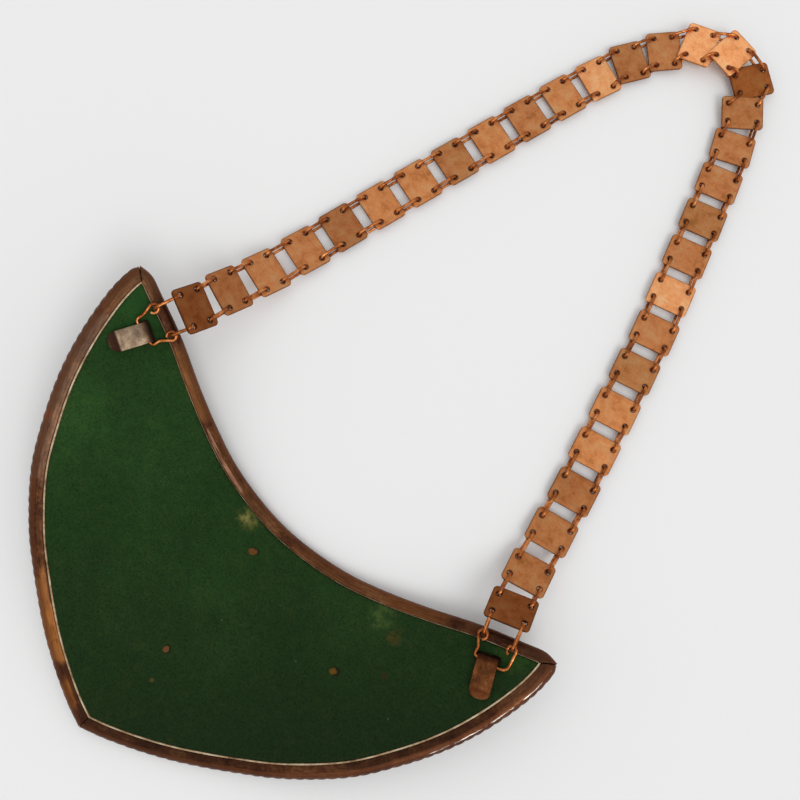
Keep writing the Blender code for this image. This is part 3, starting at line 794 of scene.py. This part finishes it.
# %% Stains and moth holes
MOTTLED_FROM = 0.65
FELT_MARKS_AND_SHADE = (
    # place in mm, radius mm, colour, strength, fuzz: first olive rubs and both corners
    ((-13.6, -98.5, 6.5), 5.6, "#66632F", 0.6, 0.7),
    ((-14.8, -99.6, 6.5), 2.6, "#857C48", 0.5, 0.8), ((49, -90.5, 7.3), 7, "#45562A", 0.6, 0.9),
    ((-99, -68, 30), 14, "#224E20", 0.4, 0.6), ((94, -66, 17), 9, "#2E4F1E", 0.4, 0.6),
    # five holes, three of them first with a dark ring of painted shade
    ((-3.4, -106.6, 5.7), 2.5, "#151608", 0.8, 0.5),
    ((-3.7, -106.9, 5.7), 1.75, "#5F3A18", 0.95, 0.35),
    ((-1.8, -154.8, 5.6), 2.2, "#0F1208", 0.85, 0.5),
    ((-2, -155, 5.6), 1.45, "#613C22", 0.95, 0.35), ((2.3, -166.4, 5.4), 1.1, "#453A1C", 0.9, 0.5),
    ((50.6, -117.4, 7.5), 2.5, "#121408", 0.8, 0.5),
    ((49.7, -117.8, 7.5), 1.5, "#5C3E10", 0.95, 0.4),
    ((64.6, -105.7, 9.8), 1.5, "#2A2410", 0.85, 0.6),
    # rust dust, and three bits of lint
    ((58, -93, 8.6), 3.8, "#573E18", 0.6, 0.9), ((5.8, -133.1, 5.2), 0.5, "#48613E", 0.5, 0.6),
    ((36.9, -124.7, 6.1), 0.5, "#48613E", 0.5, 0.6), ((76, -115.6, 12.2), 0.5, "#48613E", 0.5, 0.6),
)
ragged = speckled(tree, coords, 2.2, 4.0)
mottle = ranged(tree, small, 0.42, 0.56, 0.25)
for place, radius, felt_tone, strength, soft in FELT_MARKS_AND_SHADE:
    mask = patch(tree, coords, place, radius, soft, ragged)
    if soft > MOTTLED_FROM:
        mask = worked(tree, "MULTIPLY", mask, mottle)
    wool = painted(tree, mask, strength, wool, felt_tone)
feed(tree, shader, {"Base Color": wool})
print("stains and holes on the felt:", len(FELT_MARKS_AND_SHADE))

# %% [markdown]
# ## The hooks' place
#
# Each hook sits on the sheet near a corner and is turned 27 degrees, so that it pulls in line
# with the chain. Its frame is needed now, because the felt has a slot for the hook's foot.

# %% Hook frames and felt
HOOK_X = 88.9 * MM
HOOK_Y = -14.2 * MM
HOOK_SPLAY = radians(27.0)
HOOK_WIDTH = 7.9 * MM
HOOK_THICKNESS = 0.9 * MM
SLOT_STARTS, SLOT_ENDS, SLOT_HALF = -0.3 * MM, 4.2 * MM, 4.25 * MM
FELT_TOP = 2.6 * MM
FELT_WALL = 1.8 * MM
FELT_INSETS = 6.15 * MM, 4.75 * MM
FELT_CELL = 2.0 * MM
FELT_WAVE = 16.0 * MM


def hook_frame(side):
    """X runs from the hook's fold to its nose, Z stands square to the sheet."""
    x = side * HOOK_X + TIP_LEAN * (HOOK_Y / TIP_DEPTH) ** 2
    turn = asin(x / BOW_RADIUS)
    place = Vector((sin(turn) * BOW_RADIUS, HOOK_Y, BOW_RADIUS * (1 - cos(turn))))
    return (
        RESTS @ Matrix.Translation(place) @ Matrix.Rotation(-turn, 4, "Y")
        @ Matrix.Rotation(-pi / 2 + side * HOOK_SPLAY, 4, "Z")
    )


def slot_line(side):
    """The slot for a hook's foot, as four corners in the flat pattern."""
    turn = Matrix.Rotation(-pi / 2 + side * HOOK_SPLAY, 2)
    corners = (
        (SLOT_STARTS, -SLOT_HALF), (SLOT_ENDS, -SLOT_HALF), (SLOT_ENDS, SLOT_HALF),
        (SLOT_STARTS, SLOT_HALF),
    )
    return [Vector((side * HOOK_X, HOOK_Y)) + turn @ Vector(corner) for corner in corners]


felt_mesh = gridded(
    outlined_face(pattern(*FELT_INSETS), [slot_line(-1), slot_line(1)]), FELT_CELL
)
for vertex in felt_mesh.verts:
    spot = vertex.co / FELT_WAVE
    swell = 0.10 * (noise.noise(spot) - 0.3) + 0.05 * noise.noise(spot * 4)
    vertex.co.z = FELT_TOP + swell * MM
bend(felt_mesh)
felt_area = sum(face.calc_area() for face in felt_mesh.faces)
felt = piece("felt_lining", felt_mesh, felt_wool, ["lining_felt"])
walled(felt, FELT_WALL)
print("area of the felt in cm2:", round(felt_area * 1e4, 1))

# %% [markdown]
# ## Hooks
#
# The left hook is rubbed pale on its flat. Its nose and fold are darker, partly tarnish and partly
# painted shade where the strip curves down, and a painted highlight lies on the crease behind the
# nose. The right one is brown all over, with a painted highlight on its nose and painted shade on
# its fold. Each vertex keeps its share of the way from nose to foot, and a ramp on that share
# paints the zones.

# %% Hook metal
def hook_metal(name, tones, zones, metallic, gloss):
    """Tarnished metal with zones of wear, painted shade and painted highlight along the strip."""
    surface, tree, shader, _, colour = tarnished(name, tones, 5.0, 0.9, gloss, metallic)
    share = add(tree, "Attribute", attribute_name="share").outputs["Fac"]
    colour = blended(tree, 1.0, colour, toned(tree, share, zones), "MULTIPLY")
    feed(tree, shader, {"Base Color": colour})
    return surface


hook_grey = hook_metal(
    "rubbed_hook_metal", ("#5E4D3E", "#786552", "#8A7661", "#A18D76"),
    # nose darker, a painted highlight on the crease at 0.195, pale flat, fold in painted shade
    [(0.0, "#A08070"), (0.02, "#7C523A"), (0.17, "#724B31"), (0.195, "#FFFFFF"), (0.24, "#E0DAD2"),
     (0.60, "#FFFFFF"), (0.66, "#B59F8C"), (0.72, "#5A4434")], 0.75, (0.40, 0.62),
)
hook_brown = hook_metal(
    "browned_hook_copper", ("#57361E", "#734726", "#895634", "#A57148"),
    # a painted highlight on the nose, then the flat, then the fold in painted shade
    [(0.0, "#FFFFFF"), (0.05, "#E8D8C8"), (0.16, "#B49C8A"), (0.20, "#E8DCD0"), (0.45, "#E0D4C8"),
     (0.62, "#C8B8AA"), (0.68, "#8A7462"), (0.75, "#5A4838")], 0.9, (0.32, 0.5),
)
print("hook metals:", hook_grey.name, "and", hook_brown.name)

# %% [markdown]
# A hook is a strip of 0.9 mm metal, cut with a round nose and folded over a bar. It is made the
# same way: a flat blank gets round corners from a vertex bevel, is cut across so that it can
# bend, and each vertex then follows the folded line. Solidify gives the strip its thickness.

# %% Hooks
HOOK_LINE = (
    # along mm, height mm, from the nose to the foot
    (16.2, 3.55), (15.3, 3.6), (14.3, 3.9), (13.3, 4.42), (12.8, 4.72), (12.3, 4.85), (9, 4.85),
    (5, 4.85), (2.2, 4.85), (1.35, 4.74), (0.75, 4.35), (0.47, 3.75), (0.45, 3), (0.47, 2.2),
    (0.75, 1.6), (1.2, 1.25), (1.6, 1.16), (2.9, 1.15),
)
HOOK_CORNER = HOOK_WIDTH * 0.42
NOSE_STEP = 0.6 * MM
WORN_EDGE = 0.15 * MM


def rounded(mesh, parts, radius, steps, kind="VERTICES"):
    """Round some corners or edges."""
    bmesh.ops.bevel(
        mesh, geom=parts, offset=radius, offset_type="OFFSET", segments=steps,
        profile=0.5, affect=kind, material=-1,
    )


def build_hook(name, side, surface):
    """Cut a strip with a round nose and bend it along the hook's line."""
    line = [Vector(row) * MM for row in HOOK_LINE]
    lengths = lengths_along(line)
    total = lengths[-1]
    mesh = blank_face(total, HOOK_WIDTH)
    bmesh.ops.translate(mesh, vec=(total / 2, 0.0, 0.0), verts=mesh.verts)
    rounded(mesh, [v for v in mesh.verts if v.co.x < total / 2], HOOK_CORNER, 10)
    for place in [*lengths[1:-1], *[NOSE_STEP * step for step in range(1, 10)]]:
        cut(mesh, (place, 0.0, 0.0), (1.0, 0.0, 0.0))
    share_of_way = mesh.verts.layers.float.new("share")
    for vertex in mesh.verts:
        vertex[share_of_way] = vertex.co.x / total
        along, height = point_at(line, lengths, vertex.co.x)
        vertex.co = hook_frame(side) @ Vector((along, vertex.co.y, height))
    made = piece(name + "_strip", mesh, surface, [name])
    walled(made, HOOK_THICKNESS, 0.0)
    edge = made.modifiers.new("worn edge", "BEVEL")
    edge.width = WORN_EDGE
    edge.segments = 2
    edge.limit_method = "ANGLE"
    edge.angle_limit = radians(50)
    return made


for name, side, surface in (("hook_left", -1, hook_grey), ("hook_right", 1, hook_brown)):
    print(build_hook(name, side, surface).name, "is", HOOK_WIDTH / MM, "mm wide")

# %% [markdown]
# ## Bails
#
# A wire is a sweep of a small circle. The circle is extruded from point to point of the path,
# and each new ring is put square to the path there.

# %% Wire helper
WIRE_SIDES = 10
wire_copper = tarnished(
    "handled_wire_copper", ("#54280F", "#8E4B22", "#BC713A", "#DE9660"), 4.0, 0.7, (0.22, 0.42)
)[0]


def wire(mesh, path, flat, width, closed):
    """Sweep a circle along a path that lies in one plane; flat is that plane's normal."""
    count = len(path)

    def place(mark, stop):
        run = heading_at(path, stop)
        if closed:
            run = (path[(stop + 1) % count] - path[stop - 1]).normalized()
        turn = 2 * pi * mark / WIRE_SIDES
        out = flat * cos(turn) + flat.cross(run) * sin(turn)
        return path[stop] + out * width / 2

    first = marked_ring(mesh, WIRE_SIDES)
    last = carried(mesh, first, count, place)
    if closed:
        bmesh.ops.bridge_loops(mesh, edges=first + last)
    else:
        for ring in (first, last):
            bmesh.ops.edgeloop_fill(mesh, edges=ring)


# %% [markdown]
# A bail is a bent copper wire: its bar lies in the hook's fold, its arms flare out, and each
# ends in an eye. No two bails are bent alike, so each arm has its own bulge.

# %% Bails
BAIL_WIRE = 1.2 * MM
BAIL_REACH = 8.1 * MM
BAIL_SPREAD = 12.1 * MM
BAIL_TURN = radians(14.0)
BAIL_TILT = radians(15.0)
BAIL_GAP = 0.3 * MM
EYE_RADIUS = 1.75 * MM
EYE_STARTS, EYE_TURNS, EYE_STEPS = radians(75), radians(265), 21
ARM_BULGE = (
    # mm from the bar, share of the bulge
    (0.5, 0.55), (1.6, 1.0), (3.6, 1.1),
)


def bail_frame(side):
    """The bail's plane: it rises from the fold to carry the eyes over the hem."""
    along = HOOK_THICKNESS + BAIL_GAP + BAIL_WIRE / 2 + tan(BAIL_TURN) * HOOK_WIDTH / 2
    return (
        hook_frame(side) @ Matrix.Translation((along, 0.0, FELT_TOP + BAIL_GAP + BAIL_WIRE / 2))
        @ Matrix.Rotation(-side * BAIL_TURN, 4, "Z") @ Matrix.Rotation(BAIL_TILT, 4, "Y")
    )


def bail_half(side, bulge):
    """From the middle of the bar round to the end of one eye."""
    elbow = HOOK_WIDTH / 2 + BAIL_GAP + BAIL_WIRE * 0.7
    points = [(0.0, side * elbow * 0.45), (0.0, side * (elbow - 0.5 * MM))]
    for along, share in ARM_BULGE:
        points.append((-along * MM, side * (elbow + bulge * share)))
    eye = Vector((-BAIL_REACH, side * BAIL_SPREAD / 2))
    for step in range(EYE_STEPS + 1):
        turn = EYE_STARTS + EYE_TURNS * step / EYE_STEPS
        points.append(eye + Vector((cos(turn), side * sin(turn))) * EYE_RADIUS)
    return points


BAILS = (
    # name, side, bulge of its two arms
    ("bail_left", -1, (0.9 * MM, 0.4 * MM)), ("bail_right", 1, (0.5 * MM, 2.4 * MM)),
)
for name, side, bulges in BAILS:
    halves = [bail_half(way, bulge) for way, bulge in zip((-1, 1), bulges)]
    line = smooth_line([*reversed(halves[0]), *halves[1]], 90)
    place = bail_frame(side)
    mesh = bmesh.new()
    wire(mesh, [place @ point.to_3d() for point in line], place.to_3x3().col[2], BAIL_WIRE, False)
    made = piece(name + "_wire", mesh, wire_copper, [name])
    print(made.name, "faces:", len(made.data.polygons))

# %% [markdown]
# ## Chain plates
#
# The chain is 31 stamped copper plates, each with clipped corners and a punched hole near every
# corner. A blank is one square face whose corners are rounded by a vertex bevel. Four circles
# are laid inside it and the flat area between all the edges is filled, which leaves the holes
# open. It is then extruded to its 0.85 mm and its rims are broken with a small bevel.

# %% Plate blank
LINK_LENGTH = 14.5 * MM
LINK_WIDTH = 18.0 * MM
LINK_THICKNESS = 0.85 * MM
LINK_CORNER = 1.7 * MM
LINK_EDGE = 0.22 * MM
HOLE_LONG = 7.8 * MM
HOLE_WIDE = 12.7 * MM
HOLE_RADIUS = 0.83 * MM


def plate_blank():
    """One plate about the origin, with its chart."""
    mesh = blank_face(LINK_LENGTH, LINK_WIDTH)
    rounded(mesh, mesh.verts[:], LINK_CORNER, 6)
    bmesh.ops.delete(mesh, geom=mesh.faces[:], context="FACES_ONLY")
    for end in (-1, 1):
        for side in (-1, 1):
            spot = Matrix.Translation((end * HOLE_LONG / 2, side * HOLE_WIDE / 2, 0.0))
            bmesh.ops.create_circle(mesh, segments=16, radius=HOLE_RADIUS, matrix=spot)
    bmesh.ops.triangle_fill(mesh, use_beauty=True, edges=mesh.edges[:])
    raised = bmesh.ops.extrude_face_region(mesh, geom=mesh.faces[:])["geom"]
    lifted = [item for item in raised if isinstance(item, bmesh.types.BMVert)]
    bmesh.ops.translate(mesh, vec=(0.0, 0.0, LINK_THICKNESS), verts=lifted)
    bmesh.ops.translate(mesh, vec=(0.0, 0.0, -LINK_THICKNESS / 2), verts=mesh.verts)
    bmesh.ops.recalc_face_normals(mesh, faces=mesh.faces)
    shared = [edge for edge in mesh.edges if len(edge.link_faces) == 2]
    rims = [edge for edge in shared if edge.calc_face_angle() > radians(60)]
    rounded(mesh, rims, LINK_EDGE, 3, "EDGES")
    chart = mesh.loops.layers.uv.new("plate_mm")
    for face in mesh.faces:
        for corner in face.loops:
            corner[chart].uv = corner.vert.co.xy / CHART + Vector((0.5, 0.5))
    return mesh


blank = plate_blank()
print("faces of a plate:", len(blank.faces))

# %% [markdown]
# The plates are rolled copper with a thin brown patina. Around each punched hole the metal is
# painted darker, as shade where the rings pass through, and a thin line of painted shade runs along
# the rim and down its walls.
# Distances to the holes and to the rim come from the plate's own flat coordinates, kept as a UV map
# in units of 20 mm, and the folded value of (u, v) makes one hole stand for all four. Each plate
# also carries a tint. Mostly this is because no two of them browned alike, but plate 16, which
# faces the light, is tinted lighter as a painted highlight. Plate 17, tilted away, is tinted darker
# as painted shade.

# %% Plate copper
HOLE_SHADE_MM, RIM_SHADE = 1.55, 0.55 * MM
plate_copper, tree, shader, coords, colour = tarnished(
    "rolled_chain_copper", ("#DC9459", "#F8A96E", "#FFB87C", "#FFC893"), 5.0, 1.0,
    (0.40, 0.56), 0.95, 0.04,
)
chart = add(tree, "UVMap", uv_map="plate_mm").outputs["UV"]
centred = add(tree, "VectorMath", {0: chart, 1: (0.5, 0.5, 0.0)}, operation="SUBTRACT")
folded = add(tree, "VectorMath", {0: centred.outputs["Vector"]}, operation="ABSOLUTE")
folded = folded.outputs["Vector"]
hole_mm = (HOLE_LONG / 2 / MM, HOLE_WIDE / 2 / MM, 0.0)
# painted shade around each hole, where the rings pass through
hole_shade = patch(tree, folded, hole_mm, HOLE_SHADE_MM, 0.35, unit=MM / CHART)
colour = painted(tree, hole_shade, 0.9, colour, "#5E3218")
halves = add(tree, "SeparateXYZ", {"Vector": folded}).outputs
past_end = worked(tree, "SUBTRACT", halves["X"], LINK_LENGTH / 2 / CHART)
past_side = worked(tree, "SUBTRACT", halves["Y"], LINK_WIDTH / 2 / CHART)
nearest = worked(tree, "MAXIMUM", past_end, past_side)
# painted shade along the plate's rim and on its walls
rim_shade = ranged(tree, nearest, -RIM_SHADE / CHART, 0.0, 0.0, 0.75)
colour = blended(tree, rim_shade, colour, linear("#6A3A1C"))
brushed = {"Vector": coords, "Scale": (1.0, 7.0, 1.0), "Rotation": (0.0, 0.0, 0.6)}
brushed = add(tree, "Mapping", brushed).outputs["Vector"]
scratch = add(tree, "TexNoise", {"Vector": brushed, "Scale": 260.0, "Detail": 3.0}).outputs["Fac"]
marks = toned(tree, scratch, [(0.30, "#C9B8A8"), (0.42, "#FFFFFF")])
colour = blended(tree, 0.3, colour, marks, "MULTIPLY")
tint = add(tree, "Attribute", attribute_name="tint").outputs["Color"]
colour = blended(tree, 1.0, colour, tint, "MULTIPLY")
feed(tree, shader, {"Base Color": colour})

PLAIN_TINT = "#C4B9AF"
TINTS = {
    # tint: its plates, if not plain
    # plate 16's tint is a painted highlight, plate 17's painted shade
    "#86715D": (1, 31), "#9E8669": (17,), "#AC9E92": (2, 5, 28), "#B8ACA0": (8, 13, 18, 29, 30),
    "#B6AEA1": (21, 25), "#D1C7BC": (6, 7, 9, 11, 26, 27), "#EDEDED": (12, 23),
    "#FFFFFF": (15, 16),
}
print("tints of the plates:", len(TINTS) + 1)

# %% [markdown]
# ## Laying the chain
#
# The chain climbs from the left hook over the hem, runs up the table, turns back at the top and
# comes down to the right hook. A few chosen plates fix the route, and the rest are spaced evenly
# between them. Each row holds a plate's place, its heading, and how far its nose and its left
# side are raised.

# %% Chain route
CHAIN_ROUTE = (
    # plate, x mm, y mm, centre height mm, heading, nose up, left side up
    (1, -81.2, 3.4, 25.7, 79, -37, 20), (2, -80.2, 18.6, 15.2, 80, -32, 14),
    (3, -77.4, 35.2, 7.2, 78, -21, 6), (4, -73.8, 53.9, 3, 76.5, -7.5, 2),
    (5, -69.8, 72, 2.2, 76, -1, 0), (11, -42.6, 181, 2.2, 74.5, 0, 0),
    (12, -37.5, 198.6, 2.2, 71, 0, 0), (13, -32.5, 214.2, 2.2, 59, 0, 0),
    (14, -25, 228.6, 2.6, 46, 6, 0), (15, -15.4, 240.1, 5.2, 20, 4, 2),
    (16, -2.4, 246.5, 6.5, -5, -4, -1), (17, 12, 244, 3.5, -33, -5.5, 0),
    (18, 18.6, 229.8, 3.5, -50, -5, 1), (19, 25.8, 214.9, 2.2, -65, 0, 0),
    (20, 31.8, 198.2, 2.2, -70, 0, 0), (24, 54.4, 128.3, 2.2, -73, 0, 0),
    (28, 73.4, 55.9, 2.2, -76, 1, 0), (29, 77.2, 37.6, 3.2, -77, 7, 2),
    (30, 80.6, 19.1, 7, -78, 19.5, 7), (31, 83.4, 3.8, 16.2, -76, 32, 14),
)


def route_row(number):
    """A plate's row, from the table or between two of its rows."""
    for first, second in zip(CHAIN_ROUTE, CHAIN_ROUTE[1:]):
        if first[0] <= number <= second[0]:
            share = (number - first[0]) / (second[0] - first[0])
            return [a + (b - a) * share for a, b in zip(first, second)]


def plate_frame(number):
    """X runs on along the chain, Y to its left and Z up."""
    _, x, y, height, heading, nose_up, left_up = route_row(number)
    return (
        CHAIN_SHIFT @ Matrix.Translation((x * MM, y * MM, height * MM))
        @ Matrix.Rotation(radians(heading), 4, "Z")
        @ Matrix.Rotation(radians(-nose_up), 4, "Y")
        @ Matrix.Rotation(radians(left_up), 4, "X")
    )


frames = [plate_frame(number) for number in range(1, CHAIN_ROUTE[-1][0] + 1)]
for number, place in enumerate(frames, 1):
    shade = next((code for code, numbers in TINTS.items() if number in numbers), PLAIN_TINT)
    mesh = blank.copy()
    layer = mesh.verts.layers.float_color.new("tint")
    for vertex in mesh.verts:
        vertex[layer] = linear(shade)
    bmesh.ops.transform(mesh, matrix=place, verts=mesh.verts)
    piece(
        f"chain_plate_{number:02d}", mesh, plate_copper,
        [f"chain_link_{number:02d}"], sharp=50.0, recalc=False,
    )
blank.free()
print("plates:", len(frames))

# %% [markdown]
# ## Rings
#
# Two wire rings join each plate to the next. A ring is pulled long: two straight strands and two
# round ends, each passing down through a hole. Real rings lie over a little, so that the lower
# strand peeps out beside the upper one.

# %% Rings
RING_WIRE = 1.25 * MM
RING_HALF_HEIGHT = 1.6 * MM
RING_TAUT = 10.8 * MM
RING_SLACK_RISE = 0.18
RING_LEAN = radians(-13.0)
RING_ARC = 9


def hole_at(place, end, side):
    """The middle of a plate's hole, and the plate's upward normal."""
    return place @ Vector((end * HOLE_LONG / 2, side * HOLE_WIDE / 2, 0.0)), place.to_3x3().col[2]


def eye_at(bail_side, side):
    """The wire of a bail's eye that a ring holds, and the bail's normal."""
    place = bail_frame(bail_side)
    spot = Vector((-BAIL_REACH - EYE_RADIUS, side * BAIL_SPREAD / 2, 0.0))
    return place @ spot, place.to_3x3().col[2]


def add_ring(mesh, first, second, holds_eye):
    """A ring from one hole to the next, or from a hole to a bail's eye."""
    run = second[0] - first[0]
    along = run.normalized()
    up = first[1] + second[1]
    up = (up - along * up.dot(along)).normalized()
    radius = RING_HALF_HEIGHT
    if holds_eye:
        run += along * radius
    else:
        up = Matrix.Rotation(RING_LEAN, 3, along) @ up
        radius += max(RING_TAUT - run.length, 0.0) * RING_SLACK_RISE
    path = []
    for spot, way in ((first[0], 1), (first[0] + run, -1)):
        for step in range(RING_ARC + 1):
            turn = pi * step / RING_ARC
            inward = along * way * radius * (1 - sin(turn))
            path.append(spot + inward - up * way * radius * cos(turn))
    wire(mesh, path, along.cross(up).normalized(), RING_WIRE, True)


for number, place in enumerate(frames, 1):
    mesh = bmesh.new()
    for side in (-1, 1):
        here = hole_at(place, 1, side)
        if number < len(frames):
            add_ring(mesh, here, hole_at(frames[number], -1, side), False)
        else:
            add_ring(mesh, here, eye_at(1, side), True)
        if number == 1:
            add_ring(mesh, hole_at(place, -1, side), eye_at(-1, -side), True)
    piece(f"chain_rings_{number:02d}", mesh, wire_copper)
print("rings:", 2 * len(frames) + 2)

# %% [markdown]
# ## Sizes of the boxes
#
# Both boxes are gathered, the CAD model's and the dressed model's, and the dressed model's size is
# printed. The dressed model has to stay inside the CAD box.

# %% Both boxes
low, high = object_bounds()
{"cad": [list(cad_low), list(cad_high)], "visual": [list(low), list(high)]}
print("visual box in mm:", [round(side / MM, 1) for side in high - low])
